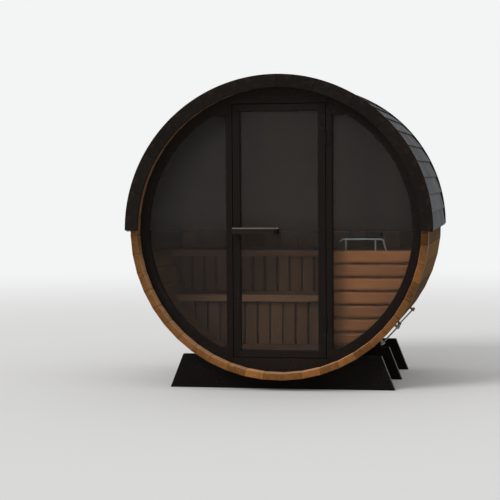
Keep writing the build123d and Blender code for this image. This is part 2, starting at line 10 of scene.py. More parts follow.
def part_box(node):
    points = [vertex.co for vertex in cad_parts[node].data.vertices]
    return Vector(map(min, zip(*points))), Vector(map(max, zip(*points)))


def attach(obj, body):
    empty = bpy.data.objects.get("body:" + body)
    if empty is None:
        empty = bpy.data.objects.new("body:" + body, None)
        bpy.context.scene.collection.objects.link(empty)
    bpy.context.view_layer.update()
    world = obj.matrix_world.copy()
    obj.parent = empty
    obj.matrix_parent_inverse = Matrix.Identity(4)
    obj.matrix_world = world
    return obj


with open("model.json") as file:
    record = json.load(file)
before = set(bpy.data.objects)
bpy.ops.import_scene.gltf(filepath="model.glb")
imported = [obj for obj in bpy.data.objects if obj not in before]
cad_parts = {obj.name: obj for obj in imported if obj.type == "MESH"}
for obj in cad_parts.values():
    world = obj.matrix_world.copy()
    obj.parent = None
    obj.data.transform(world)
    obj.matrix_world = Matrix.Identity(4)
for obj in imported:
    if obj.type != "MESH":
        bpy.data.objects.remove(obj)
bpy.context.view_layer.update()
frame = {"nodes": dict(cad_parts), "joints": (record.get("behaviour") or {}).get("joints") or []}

# Metres and degrees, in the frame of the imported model: x to the right, y into the barrel, z up
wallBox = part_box("rear_wall")
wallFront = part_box("front_posts")[0].y
barrel = {
    "axisHeight": (wallBox[0].z + wallBox[1].z) / 2,
    "staveInner": 0.975,
    "staveAngle": 7.5,
    "firstJoint": -95.6,
}
softEdge = {"affect": "EDGES", "profile": 0.5, "material": -1, "clamp_overlap": True}
nearTop = 0.9        # share of a thin shape's height above which its faces and edges count as the top


# Helpers for shader trees
def put(tree, kind, **settings):
    node = tree.nodes.new("ShaderNode" + kind)
    for key, value in settings.items():
        setattr(node, key, value)
    return node


def feed(tree, socket, value):
    if isinstance(value, bpy.types.NodeSocket):
        tree.links.new(value, socket)
    else:
        socket.default_value = value


def feedAll(tree, sockets, values):
    for socket, value in zip(sockets, values):
        feed(tree, socket, value)


def calc(tree, operation, *values, clamp=False):
    node = put(tree, "Math", operation=operation, use_clamp=clamp)
    feedAll(tree, node.inputs, values)
    return node.outputs[0]


def product(tree, first, *others):
    for value in others:
        first = calc(tree, "MULTIPLY", first, value)
    return first


def vectorCalc(tree, operation, *values):
    node = put(tree, "VectorMath", operation=operation)
    feedAll(tree, node.inputs, values)
    return node.outputs["Value" if operation in ("LENGTH", "DOT_PRODUCT") else "Vector"]


def scaleBy(tree, vector, factor):
    node = put(tree, "VectorMath", operation="SCALE")
    feed(tree, node.inputs[0], vector)
    feed(tree, node.inputs["Scale"], factor)
    return node.outputs["Vector"]


def joinAxes(tree, x=0.0, y=0.0, z=0.0):
    node = put(tree, "CombineXYZ")
    feedAll(tree, node.inputs, (x, y, z))
    return node.outputs[0]


def splitAxes(tree, vector):
    node = put(tree, "SeparateXYZ")
    feed(tree, node.inputs[0], vector)
    return node.outputs[0], node.outputs[1], node.outputs[2]


# Settings of four numbers are the low and high end of a value, and what they turn into
def remap(tree, value, low, high, newLow=0.0, newHigh=1.0, smooth=False):
    node = put(tree, "MapRange", interpolation_type="SMOOTHSTEP" if smooth else "LINEAR")
    labels = ("Value", "From Min", "From Max", "To Min", "To Max")
    feedAll(tree, [node.inputs[label] for label in labels], (value, low, high, newLow, newHigh))
    return node.outputs["Result"]


def noise(tree, vector, scale, detail=2.0, roughness=0.5):
    node = put(tree, "TexNoise")
    labels = ("Vector", "Scale", "Detail", "Roughness")
    feedAll(tree, [node.inputs[label] for label in labels], (vector, scale, detail, roughness))
    return node.outputs["Fac"]


def whiteNoise(tree, value):
    node = put(tree, "TexWhiteNoise", noise_dimensions="1D")
    feed(tree, node.inputs["W"], value)
    return node.outputs["Value"]


def cells(tree, vector, scale):
    node = put(tree, "TexVoronoi", feature="F1")
    feed(tree, node.inputs["Vector"], vector)
    feed(tree, node.inputs["Scale"], scale)
    return node.outputs


def mixColour(tree, factor, first, second):
    node = put(tree, "Mix", data_type="RGBA", clamp_factor=True)
    feed(tree, node.inputs[0], factor)
    for socket, value in zip(node.inputs[6:8], (first, second)):        # the two colour sockets
        feed(tree, socket, (*value, 1.0) if isinstance(value, tuple) and len(value) == 3 else value)
    return node.outputs[2]


def bump(tree, height, strength, distance, normal=None):
    node = put(tree, "Bump")
    feed(tree, node.inputs["Strength"], strength)
    feed(tree, node.inputs["Distance"], distance)
    feed(tree, node.inputs["Height"], height)
    if normal is not None:
        feed(tree, node.inputs["Normal"], normal)
    return node.outputs[0]


def startGroup(name, inputs, outputs):
    group = bpy.data.node_groups.new(name, "ShaderNodeTree")
    for label, kind, value in inputs:
        socket = group.interface.new_socket(label, in_out="INPUT", socket_type="NodeSocket" + kind)
        if kind == "Float":
            socket.default_value = value
    for label in outputs:
        group.interface.new_socket(label, in_out="OUTPUT", socket_type="NodeSocketFloat")
    entry = group.nodes.new("NodeGroupInput").outputs
    leave = group.nodes.new("NodeGroupOutput").inputs
    return group, entry, leave


def useGroup(tree, group, **values):
    node = tree.nodes.new("ShaderNodeGroup")
    node.node_tree = group
    for label, value in values.items():
        feed(tree, node.inputs[label], value)
    return node.outputs


def startMaterial(name):
    material = bpy.data.materials.new(name)
    material.use_nodes = True
    tree = material.node_tree
    tree.nodes.clear()
    surface = put(tree, "BsdfPrincipled")
    end = put(tree, "OutputMaterial")
    tree.links.new(surface.outputs[0], end.inputs["Surface"])
    return material, tree, surface, put(tree, "TexCoord").outputs["Object"]


def facing(tree):
    return put(tree, "TexCoord").outputs["Normal"]


# Puts a mix of two shaders in place of the material's own
def endWithMix(tree, factor, first, second):
    blend = put(tree, "MixShader")
    feedAll(tree, blend.inputs, (factor, first, second))
    end = next(node for node in tree.nodes if node.type == "OUTPUT_MATERIAL")
    feed(tree, end.inputs["Surface"], blend.outputs[0])


# Rays that see the backdrop at full strength: the camera's, and those that gloss and glass send on
def seeingRays(tree):
    path = put(tree, "LightPath")
    seen = calc(tree, "MAXIMUM", path.outputs["Is Camera Ray"], path.outputs["Is Glossy Ray"])
    return calc(tree, "MAXIMUM", seen, path.outputs["Is Transmission Ray"])


timber = {
    "seedShift": (23.0, 0.31, 7.1),         # how far the figure moves for a board's random number
    "slowStretch": (0.9, 5.0, 5.0),
    "slowDetail": 3.0,
    "sway": 0.10,
    "heart": (0.7, 0.06),                   # its share of the sway, and its depth
    "ringPower": 1.6,
    "fibreStretch": (7.0, 420.0, 420.0),
    "fibreNoise": (1.0, 3.0, 0.6),
    "broadNoise": (2.0, 2.0),
    "knotScale": 5.5,
    "knotRare": (0.72, 0.74),
    "knotSize": (0.10, 0.05),
    "inTone": {"ring": 0.42, "fibre": 0.34, "broad": 0.42},
    "inHeight": {"ring": 0.3, "fibre": 0.7},
}


# Solid wood figure: growth rings round a heart outside the board, fibres along it and rare knots
def makeTimberGroup():
    look, inTone, inHeight = timber, timber["inTone"], timber["inHeight"]
    tree, entry, leave = startGroup(
        "timberFigure",
        [("Place", "Vector", None), ("Seed", "Float", 0.0), ("Rings", "Float", 90.0)],
        ["Tone", "Height", "Knot"],
    )
    place = vectorCalc(tree, "ADD", entry["Place"], scaleBy(tree, look["seedShift"], entry["Seed"]))
    slow = vectorCalc(tree, "MULTIPLY", place, look["slowStretch"])
    sway = calc(tree, "SUBTRACT", noise(tree, slow, 1.0, look["slowDetail"]), 0.5)
    sway = calc(tree, "MULTIPLY", sway, look["sway"])
    across = calc(tree, "ADD", splitAxes(tree, place)[1], sway)
    heart = joinAxes(tree, 0.0, across, calc(tree, "MULTIPLY_ADD", sway, *look["heart"]))
    wave = calc(tree, "SINE", product(tree, vectorCalc(tree, "LENGTH", heart), entry["Rings"], 2 * math.pi))
    ring = calc(tree, "POWER", calc(tree, "MULTIPLY_ADD", wave, 0.5, 0.5), look["ringPower"])
    fine = vectorCalc(tree, "MULTIPLY", place, look["fibreStretch"])
    fibre = noise(tree, fine, *look["fibreNoise"])
    broad = noise(tree, slow, *look["broadNoise"])
    tone = calc(tree, "MULTIPLY_ADD", ring, inTone["ring"], calc(tree, "MULTIPLY", fibre, inTone["fibre"]))
    feed(tree, leave["Tone"], calc(tree, "MULTIPLY_ADD", broad, inTone["broad"], tone, clamp=True))
    height = calc(tree, "MULTIPLY", ring, inHeight["ring"])
    feed(tree, leave["Height"], calc(tree, "MULTIPLY_ADD", fibre, inHeight["fibre"], height))

    knots = cells(tree, place, look["knotScale"])
    rare = remap(tree, splitAxes(tree, knots["Color"])[0], *look["knotRare"])
    core = remap(tree, knots["Distance"], *look["knotSize"], smooth=True)
    feed(tree, leave["Knot"], calc(tree, "MULTIPLY", core, rare, clamp=True))
    return tree


straightSeed, roundSeed = 17.37, 3.71        # they choose which boards are light and which are dark


# Boards side by side along one axis: a random number for each, and how near its joint lies
def makeBoardGroup():
    tree, entry, leave = startGroup(
        "boardCount",
        [("Value", "Float", 0.0), ("Start", "Float", 0.0), ("Pitch", "Float", 0.1)],
        ["Random", "Edge"],
    )
    steps = calc(tree, "DIVIDE", calc(tree, "SUBTRACT", entry["Value"], entry["Start"]), entry["Pitch"])
    index = calc(tree, "FLOOR", steps)
    inside = calc(tree, "SUBTRACT", steps, index)
    near = calc(tree, "MINIMUM", inside, calc(tree, "SUBTRACT", 1.0, inside))
    feed(tree, leave["Random"], whiteNoise(tree, calc(tree, "ADD", index, straightSeed)))
    feed(tree, leave["Edge"], calc(tree, "MULTIPLY", near, entry["Pitch"]))
    return tree


# Boards round the barrel's axis: flat coordinates on each, a random number and how near its joint lies
def makeRingGroup():
    tree, entry, leave = startGroup(
        "ringOfBoards",
        [("Place", "Vector", None), ("Start", "Float", 0.0), ("Pitch", "Float", barrel["staveAngle"])],
        ["Along", "Across", "Out", "Random", "Edge"],
    )
    fullTurn = 360.0
    x, y, z = splitAxes(tree, entry["Place"])
    up = calc(tree, "SUBTRACT", z, barrel["axisHeight"])
    radius = vectorCalc(tree, "LENGTH", joinAxes(tree, x, 0.0, up))
    angle = calc(tree, "DEGREES", calc(tree, "ARCTAN2", up, x))
    turned = calc(tree, "ADD", calc(tree, "SUBTRACT", angle, entry["Start"]), fullTurn)
    steps = calc(tree, "DIVIDE", calc(tree, "MODULO", turned, fullTurn), entry["Pitch"])
    index = calc(tree, "FLOOR", steps)
    offAxis = calc(tree, "SUBTRACT", calc(tree, "SUBTRACT", steps, index), 0.5)
    swing = calc(tree, "RADIANS", calc(tree, "MULTIPLY", offAxis, entry["Pitch"]))
    half = calc(tree, "SUBTRACT", 0.5, calc(tree, "ABSOLUTE", offAxis))
    half = calc(tree, "RADIANS", calc(tree, "MULTIPLY", half, entry["Pitch"]))
    feed(tree, leave["Along"], y)
    feed(tree, leave["Across"], calc(tree, "MULTIPLY", radius, calc(tree, "SINE", swing)))
    feed(tree, leave["Out"], calc(tree, "MULTIPLY", radius, calc(tree, "COSINE", swing)))
    feed(tree, leave["Random"], whiteNoise(tree, calc(tree, "ADD", index, roundSeed)))
    feed(tree, leave["Edge"], calc(tree, "MULTIPLY", radius, half))
    return tree


weathering = {
    "patchNoise": (4.0, 0.6),
    "faded": (0.35, 0.7),
    "speckScale": 60.0,
    "specks": (0.5, 0.8),
    "dusty": (0.4, 0.7),
}


# Uneven fading and dust
def makeWeatherGroup():
    look = weathering
    tree, entry, leave = startGroup(
        "weather", [("Place", "Vector", None), ("Scale", "Float", 3.0)], ["Fade", "Dust"]
    )
    patches = noise(tree, entry["Place"], entry["Scale"], *look["patchNoise"])
    specks = remap(tree, noise(tree, entry["Place"], look["speckScale"]), *look["specks"])
    feed(tree, leave["Fade"], remap(tree, patches, *look["faded"]))
    feed(tree, leave["Dust"], calc(tree, "MULTIPLY", specks, remap(tree, patches, *look["dusty"])))
    return tree


timberGroup = makeTimberGroup()
boardGroup = makeBoardGroup()
ringGroup = makeRingGroup()
weatherGroup = makeWeatherGroup()
print("shared shader groups made")


def scaleColour(colour, factor):
    return tuple(part * factor for part in colour)


def scaleLook(look, factor):
    return {**look, "dark": scaleColour(look["dark"], factor), "light": scaleColour(look["light"], factor)}


# Wood finishes: dark to light figure, knots, how far boards differ, gloss, relief and the joint lines
staveLook = {
    "dark": (0.058, 0.028, 0.0090),
    "light": (0.165, 0.086, 0.0290),
    "knot": (0.024, 0.010, 0.004),
    "boardSpread": 0.42,
    "rings": 95.0,
    "roughness": 0.82,
    "specular": 0.02,
    "grainHeight": 0.0006,
    "joint": (0.010, 0.005, 0.003),
    "jointWidth": 0.0020,
}
endLook = {"dark": (0.142, 0.055, 0.0170), "light": (0.390, 0.166, 0.0530)}
innerLook = {"dark": (0.35, 0.172, 0.076), "light": (0.69, 0.390, 0.205)}
rawLook = {
    "dark": (0.074, 0.037, 0.0185),
    "light": (0.163, 0.090, 0.0490),
    "knot": (0.07, 0.028, 0.012),
    "boardSpread": 0.24,
    "rings": 80.0,
    "roughness": 0.66,
    "specular": 0.15,
    "grainHeight": 0.0004,
    "joint": (0.05, 0.022, 0.01),
    "jointWidth": 0.0012,
}
nosingLook = scaleLook({**rawLook, "boardSpread": 0.34}, 1.45)
skirtLook = {**rawLook, "jointWidth": 0.006}
cabinLook = {"dark": (0.100, 0.056, 0.032), "light": (0.210, 0.130, 0.078)}
guardLook = {
    "dark": (0.180, 0.064, 0.0200),
    "light": (0.320, 0.145, 0.0560),
    "knot": (0.15, 0.05, 0.02),
    "boardSpread": 0.34,
    "rings": 70.0,
    "roughness": 0.6,
    "specular": 0.15,
    "grainHeight": 0.0004,
    # a wide near-black joint: painted shade along each slat's edge that deepens the gaps
    "joint": (0.004, 0.002, 0.001),
    "jointWidth": 0.0088,
}
darkLook = {
    "dark": (0.0052, 0.0038, 0.0031),
    "light": (0.0140, 0.0098, 0.0076),
    "knot": (0.003, 0.0023, 0.002),
    "boardSpread": 0.25,
    "rings": 70.0,
    "roughness": 0.60,
    "specular": 0.06,
    "grainHeight": 0.0005,
    "joint": (0.002, 0.0016, 0.0014),
    "jointWidth": 0.0012,
}
levelLook = scaleLook(darkLook, 1.45)
curvedLook = scaleLook(darkLook, 1.15)
# painted shade: the cradles' wood is a darker copy of the dark frame wood
shadedCradleLook = scaleLook(darkLook, 0.62)
# painted shade: the handle's blocks are a darker copy of the dark frame wood
shadedBlockLook = scaleLook(darkLook, 0.5)
handleLook = {
    "dark": (0.0075, 0.0050, 0.0034),
    "light": (0.0210, 0.0135, 0.0088),
    "knot": (0.004, 0.003, 0.002),
    "boardSpread": 0.2,
    "rings": 60.0,
    "roughness": 0.50,
    "specular": 0.08,
    "grainHeight": 0.0003,
    "joint": (0.002, 0.0016, 0.0014),
    "jointWidth": 0.001,
}
# painted highlight: the pale finish of the handle's top face, lit from above
paintedTopHighlight = {"dark": (0.100, 0.080, 0.073), "light": (0.185, 0.152, 0.140)}

# What all wood finishes share
woodWear = {
    "lighter": 0.6,                     # how far boards get lighter, as a share of how far they get darker
    "fade": 0.4,
    "fadeTo": 0.8,                      # of its dark colour, which faded wood comes half way to
    "dust": (0.22, 0.20, 0.18),
    "dustMix": 0.3,
    "dustShare": 0.25,
    "relief": 0.5,
    "jointStart": 0.5,                  # where a joint line starts to fade out, as a share of its width
    "jointOnOther": 0.5,
    "rounding": 2.5,                    # joint widths over which a board's edge is rounded
    "shine": (-0.12, 0.08),             # roughness against the figure's tone, and at its darkest
}


# Colour, gloss and relief of a board from its figure. A mask turns one finish into another
def woodSurface(tree, surface, look, figure, boardTone, edge=None, weather=None, other=None, mask=0.0):
    wear = woodWear
    dark, light = look["dark"], look["light"]
    if other is not None:
        dark = mixColour(tree, mask, dark, other["dark"])
        light = mixColour(tree, mask, light, other["light"])
    colour = mixColour(tree, figure["Tone"], dark, light)
    low, high = 1 - look["boardSpread"], 1 + look["boardSpread"] * wear["lighter"]
    colour = scaleBy(tree, colour, remap(tree, boardTone, 0.0, 1.0, low, high))
    colour = mixColour(tree, figure["Knot"], colour, look["knot"])
    if weather is not None:
        faded = mixColour(tree, 0.5, colour, scaleColour(look["dark"], wear["fadeTo"]))
        colour = mixColour(tree, calc(tree, "MULTIPLY", weather["Fade"], wear["fade"]), colour, faded)
        dust = mixColour(tree, wear["dustMix"], colour, wear["dust"])
        colour = mixColour(tree, calc(tree, "MULTIPLY", weather["Dust"], wear["dustShare"]), colour, dust)
    normal = bump(tree, figure["Height"], wear["relief"], look["grainHeight"])
    if edge is not None:
        width = look["jointWidth"]
        seam = remap(tree, edge, width * wear["jointStart"], width, 1.0, 0.0)
        if other is not None:
            seam = calc(tree, "MULTIPLY", seam, remap(tree, mask, 0.0, 1.0, 1.0, wear["jointOnOther"]))
        colour = mixColour(tree, seam, colour, look["joint"])
        rounded = remap(tree, edge, 0.0, width * wear["rounding"], smooth=True)
        normal = bump(tree, rounded, 1.0, width, normal)
    toneShine, darkShine = wear["shine"]
    roughness = calc(tree, "MULTIPLY_ADD", figure["Tone"], toneShine, look["roughness"] + darkShine)
    feed(tree, surface.inputs["Base Color"], colour)
    feed(tree, surface.inputs["Roughness"], roughness)
    feed(tree, surface.inputs["Specular IOR Level"], look["specular"])
    feed(tree, surface.inputs["Normal"], normal)


def currentColour(surface):
    return surface.inputs["Base Color"].links[0].from_socket


# The object's coordinates in the order along the grain, across it, through the board
def axisVector(tree, place, order):
    parts = dict(zip("xyz", splitAxes(tree, place)))
    return joinAxes(tree, *[parts[axis] for axis in order])


boards = {"weatherScale": 2.5, "otherFacing": (0.35, 0.55)}


# Straight boards: one piece with a seed, or several side by side along an axis. Faces that look towards
# the turn direction take the other finish
def boardMaterial(
    name, look, order, countAxis=None, start=0.0, pitch=1.0, seed=0.5, joints=False, other=None, turn=None,
):
    material, tree, surface, place = startMaterial(name)
    boardTone, edge, mask = seed, None, 0.0
    if countAxis is not None:
        along = dict(zip("xyz", splitAxes(tree, place)))[countAxis]
        count = useGroup(tree, boardGroup, Value=along, Start=start, Pitch=pitch)
        boardTone = count["Random"]
        edge = count["Edge"] if joints else None
    vector = axisVector(tree, place, order)
    figure = useGroup(tree, timberGroup, Place=vector, Seed=boardTone, Rings=look["rings"])
    weather = useGroup(tree, weatherGroup, Place=place, Scale=boards["weatherScale"])
    if other is not None:
        towards = vectorCalc(tree, "DOT_PRODUCT", facing(tree), turn)
        mask = remap(tree, towards, *boards["otherFacing"])
    woodSurface(tree, surface, look, figure, boardTone, edge, weather, other, mask)
    return material


# Staves: stained outside and on their ends, plain wood on the face that looks into the barrel
staves = {
    "weatherScale": 2.0,
    "endFacing": (0.75, 0.85),
    "underRoof": (0.80, 1.04),          # heights over which painted shade under the roof's edge comes in
    "endShade": 0.52,
    "innerShade": 0.34,
    "blotchNoise": (26.0, 3.0),
    "blotch": (0.3, 0.7, 0.82, 1.14),
    # painted light: the ends lighter on the left and darker on the right
    "paintedSideLight": (-0.9, 0.9, 1.10, 0.84),
    "rimDepth": 0.045,
    "rimShade": 0.80,
    "cabinDepth": 0.05,
    "cabinShade": 0.34,
    "innerSpread": (0.8, 1.15),
    "innerJoint": (0.0006, 0.0014),
    "innerJointShade": 0.12,
    "innerSkin": (0.0005, 0.002),       # above the inner face, where the stain begins
}


def staveMaterial():
    look, inner = staves, barrel["staveInner"]
    material, tree, surface, place = startMaterial("staveWood")
    x, y, z = splitAxes(tree, place)
    ring = useGroup(tree, ringGroup, Place=place, Start=barrel["firstJoint"], Pitch=barrel["staveAngle"])
    vector = joinAxes(tree, ring["Along"], ring["Across"], ring["Out"])
    figure = useGroup(tree, timberGroup, Place=vector, Seed=ring["Random"], Rings=staveLook["rings"])
    weather = useGroup(tree, weatherGroup, Place=place, Scale=look["weatherScale"])
    isEnd = remap(tree, calc(tree, "ABSOLUTE", splitAxes(tree, facing(tree))[1]), *look["endFacing"])
    woodSurface(tree, surface, staveLook, figure, ring["Random"], ring["Edge"], weather, endLook, isEnd)

    # The ends are blotched and darker at the rim, with painted shade under the roof's edge and painted light
    # on the left side
    blotchAndPaintedLight = product(
        tree,
        # painted shade: the ends darker towards the roof's edge
        remap(tree, z, *look["underRoof"], 1.0, look["endShade"], smooth=True),
        remap(tree, noise(tree, place, *look["blotchNoise"]), *look["blotch"]),
        # painted light on the left side, painted shade on the right
        remap(tree, x, *look["paintedSideLight"]),
        remap(tree, ring["Out"], inner, inner + look["rimDepth"], 1.0, look["rimShade"]),
    )
    stainedWithPaintedLight = scaleBy(tree, currentColour(surface), remap(tree, isEnd, 0.0, 1.0, 1.0, blotchAndPaintedLight))

    # Inside: bare wood, lighter in front of the glass, with painted shade that darkens it in the cabin and
    # under the roof
    shade = product(
        tree,
        remap(tree, y, wallFront, wallFront + look["cabinDepth"], 1.0, look["cabinShade"]),
        remap(tree, z, *look["underRoof"], 1.0, look["innerShade"], smooth=True),
        remap(tree, ring["Random"], 0.0, 1.0, *look["innerSpread"]),
    )
    bare = mixColour(tree, figure["Tone"], innerLook["dark"], innerLook["light"])
    bare = scaleBy(tree, bare, shade)
    joint = remap(tree, ring["Edge"], *look["innerJoint"], 1.0, 0.0)
    bare = mixColour(tree, joint, bare, scaleColour(innerLook["dark"], look["innerJointShade"]))
    skinLow, skinHigh = look["innerSkin"]
    inside = remap(tree, ring["Out"], inner + skinLow, inner + skinHigh, 1.0, 0.0)
    feed(tree, surface.inputs["Base Color"], mixColour(tree, inside, stainedWithPaintedLight, bare))
    return material


# Fascia: curved boards butted round the half ring, worn in patches, with two sunk screws at each end
fascia = {
    "boardAngle": 15.0,
    "weatherScale": 3.0,
    "wornColour": (0.034, 0.0185, 0.0110),
    "wornNoise": (11.0, 5.0, 0.7),
    "worn": (0.53, 0.68, 0.0, 0.55),
    "screwFromJoint": 0.024,
    "screwRadii": (0.990, 1.034),
    "screwSize": 0.0036,
    "screwEdge": 0.85,
    "screwColour": (0.016, 0.015, 0.015),
}


def fasciaMaterial():
    look = fascia
    material, tree, surface, place = startMaterial("fasciaWood")
    ring = useGroup(tree, ringGroup, Place=place, Start=0.0, Pitch=look["boardAngle"])
    vector = joinAxes(tree, ring["Across"], ring["Out"], ring["Along"])
    figure = useGroup(tree, timberGroup, Place=vector, Seed=ring["Random"], Rings=darkLook["rings"])
    weather = useGroup(tree, weatherGroup, Place=place, Scale=look["weatherScale"])
    woodSurface(tree, surface, darkLook, figure, ring["Random"], ring["Edge"], weather)
    worn = remap(tree, noise(tree, vector, *look["wornNoise"]), *look["worn"])
    colour = mixColour(tree, worn, currentColour(surface), look["wornColour"])
    aside = calc(tree, "SUBTRACT", ring["Edge"], look["screwFromJoint"])
    away = [
        vectorCalc(tree, "LENGTH", joinAxes(tree, aside, calc(tree, "SUBTRACT", ring["Out"], radius), 0.0))
        for radius in look["screwRadii"]
    ]
    size = look["screwSize"]
    head = remap(tree, calc(tree, "MINIMUM", *away), size * look["screwEdge"], size, 1.0, 0.0)
    feed(tree, surface.inputs["Base Color"], mixColour(tree, head, colour, look["screwColour"]))
    return material


# Cradles: dark stain with painted shade, and a painted highlight that makes the slanted ends pale grey
cradles = {
    "seed": 0.37,
    "tone": 0.2,
    "weatherScale": 3.0,
    "endFacing": (0.75, 0.85),
    "endDark": (0.055, 0.052, 0.048),
    "endLight": (0.14, 0.135, 0.125),
}


def cradleMaterial():
    look = cradles
    material, tree, surface, place = startMaterial("cradleWood")
    vector = axisVector(tree, place, "xzy")
    figure = useGroup(tree, timberGroup, Place=vector, Seed=look["seed"], Rings=darkLook["rings"])
    weather = useGroup(tree, weatherGroup, Place=place, Scale=look["weatherScale"])
    woodSurface(tree, surface, shadedCradleLook, figure, look["tone"], None, weather)
    isEnd = remap(tree, calc(tree, "ABSOLUTE", splitAxes(tree, facing(tree))[0]), *look["endFacing"])
    # painted highlight: the slanted ends pale grey, in place of the sky light they catch
    pale = mixColour(tree, figure["Tone"], look["endDark"], look["endLight"])
    feed(tree, surface.inputs["Base Color"], mixColour(tree, isEnd, currentColour(surface), pale))
    return material


# Roof covering: mineral granules on bitumen, each tab a little different
granules = {
    "dark": (0.056, 0.060, 0.067),
    "light": (0.180, 0.190, 0.204),
    "warm": (0.150, 0.134, 0.122),
    "warmRare": (0.75, 0.8),
    "bitumen": (0.007, 0.007, 0.0075),
    "bitumenShare": 0.85,
    "scale": 700.0,
    "patchNoise": (7.0, 4.0, 0.6),
    "patches": (0.35, 0.7, 0.0, 0.35),
    "tabSpread": (0.86, 1.16),
    "roughness": 0.92,
    "specular": 0.12,
    "relief": (0.8, 0.0012),
}


def shingleMaterial(name, withTabs):
    look = granules
    material, tree, surface, place = startMaterial(name)
    grains = cells(tree, place, look["scale"])
    pick = splitAxes(tree, grains["Color"])
    colour = mixColour(tree, pick[0], look["dark"], look["light"])
    colour = mixColour(tree, remap(tree, pick[1], *look["warmRare"]), colour, look["warm"])
    patches = remap(tree, noise(tree, place, *look["patchNoise"]), *look["patches"])
    colour = mixColour(tree, patches, colour, look["dark"])
    if withTabs:
        shade = put(tree, "Attribute", attribute_name="tabShade").outputs["Fac"]
        colour = scaleBy(tree, colour, remap(tree, shade, 0.0, 1.0, *look["tabSpread"]))
    else:
        colour = mixColour(tree, look["bitumenShare"], colour, look["bitumen"])
    height = calc(tree, "SUBTRACT", 1.0, grains["Distance"])
    feed(tree, surface.inputs["Base Color"], colour)
    feed(tree, surface.inputs["Roughness"], look["roughness"])
    feed(tree, surface.inputs["Specular IOR Level"], look["specular"])
    feed(tree, surface.inputs["Normal"], bump(tree, height, *look["relief"]))
    return material


# Metals: brushed along the barrel, with smudges. A threaded one has turns of thread along its rod
steelLook = {
    "colour": (0.28, 0.29, 0.30),
    "metallic": 1.0,
    "specular": 0.3,
    "roughness": 0.30,
    "scratches": 700.0,
}
hoopLook = {**steelLook, "colour": (0.205, 0.180, 0.140), "roughness": 0.45}
rodLook = {**steelLook, "colour": (0.235, 0.235, 0.23), "roughness": 0.34}
screwLook = {**steelLook, "colour": (0.32, 0.31, 0.30)}
hingeLook = {
    "colour": (0.0065, 0.0055, 0.0048),
    "metallic": 0.0,
    "specular": 0.12,
    "roughness": 0.62,
    "scratches": 500.0,
}
metalWear = {
    "brushStretch": (1.0, 0.06, 1.0),
    "brushRough": (0.16, -0.05),
    "brushRelief": (0.25, 0.0002),
    "smudgeNoise": (14.0, 3.0),
    "smudged": (0.4, 0.7),
    "smudgeShade": 0.8,
    "smudgeRough": 0.1,
}
thread = {"pitch": 0.0015, "relief": (0.8, 0.0006), "rise": math.radians(47)}


def steelMaterial(name, look, threaded=False):
    wear = metalWear
    material, tree, surface, place = startMaterial(name)
    brushed = noise(tree, vectorCalc(tree, "MULTIPLY", place, wear["brushStretch"]), look["scratches"])
    smudge = noise(tree, place, *wear["smudgeNoise"])
    dull = scaleColour(look["colour"], wear["smudgeShade"])
    colour = mixColour(tree, remap(tree, smudge, *wear["smudged"]), look["colour"], dull)
    brushShare, brushBase = wear["brushRough"]
    rough = calc(tree, "MULTIPLY_ADD", brushed, brushShare, look["roughness"] + brushBase)
    rough = calc(tree, "MULTIPLY_ADD", smudge, wear["smudgeRough"], rough)
    relief = bump(tree, brushed, *wear["brushRelief"])
    if threaded:
        rod = (math.cos(thread["rise"]), 0.0, math.sin(thread["rise"]))
        along = vectorCalc(tree, "DOT_PRODUCT", place, rod)
        turns = calc(tree, "MULTIPLY", along, 2 * math.pi / thread["pitch"])
        relief = bump(tree, calc(tree, "SINE", turns), *thread["relief"], relief)
    feed(tree, surface.inputs["Base Color"], colour)
    feed(tree, surface.inputs["Metallic"], look["metallic"])
    feed(tree, surface.inputs["Specular IOR Level"], look["specular"])
    feed(tree, surface.inputs["Roughness"], rough)
    feed(tree, surface.inputs["Normal"], relief)
    return material


rubber = {
    "dark": (0.004, 0.004, 0.004),
    "light": (0.012, 0.012, 0.012),
    "cloudNoise": (40.0, 3.0),
    "rough": (0.3, 0.7, 0.65, 0.85),
    "specular": 0.2,
    "relief": (0.3, 0.0004),
}


def rubberMaterial():
    look = rubber
    material, tree, surface, place = startMaterial("sealRubber")
    cloud = noise(tree, place, *look["cloudNoise"])
    feed(tree, surface.inputs["Base Color"], mixColour(tree, cloud, look["dark"], look["light"]))
    feed(tree, surface.inputs["Roughness"], remap(tree, cloud, *look["rough"]))
    feed(tree, surface.inputs["Specular IOR Level"], look["specular"])
    feed(tree, surface.inputs["Normal"], bump(tree, cloud, *look["relief"]))
    return material


# Glass: grey, with a painted reflection, a grey veil that covers more of what is behind it towards the top;
# duller towards the top, and with more shine where it is seen aslant. Panes this thin don't bend the light
glass = {
    # the tint also colours the grey veil of the painted reflection
    "tintAndPaintedVeil": (0.58, 0.58, 0.575),
    "tintSpread": (0.95, 1.05),
    "hazeNoise": (3.0, 3.0),
    "clear": 0.976,
    "bend": 1.02,
    "paintedReflection": (0.96, 1.24, 0.50, 1.0),        # heights, and how much of what is behind it the painted reflection covers there
    "dull": (1.01, 1.17, 0.20, 0.34),       # heights, and the roughness there
    "streakStretch": (14.0, 14.0, 1.2),
    "streakNoise": (2.0, 3.0),
    "streaks": (0.3, 0.7, -0.004, 0.004),
    "aslant": (0.15, 0.6),
    "coatRoughness": 0.05,
    "lampTint": (0.80, 0.77, 0.74),
}


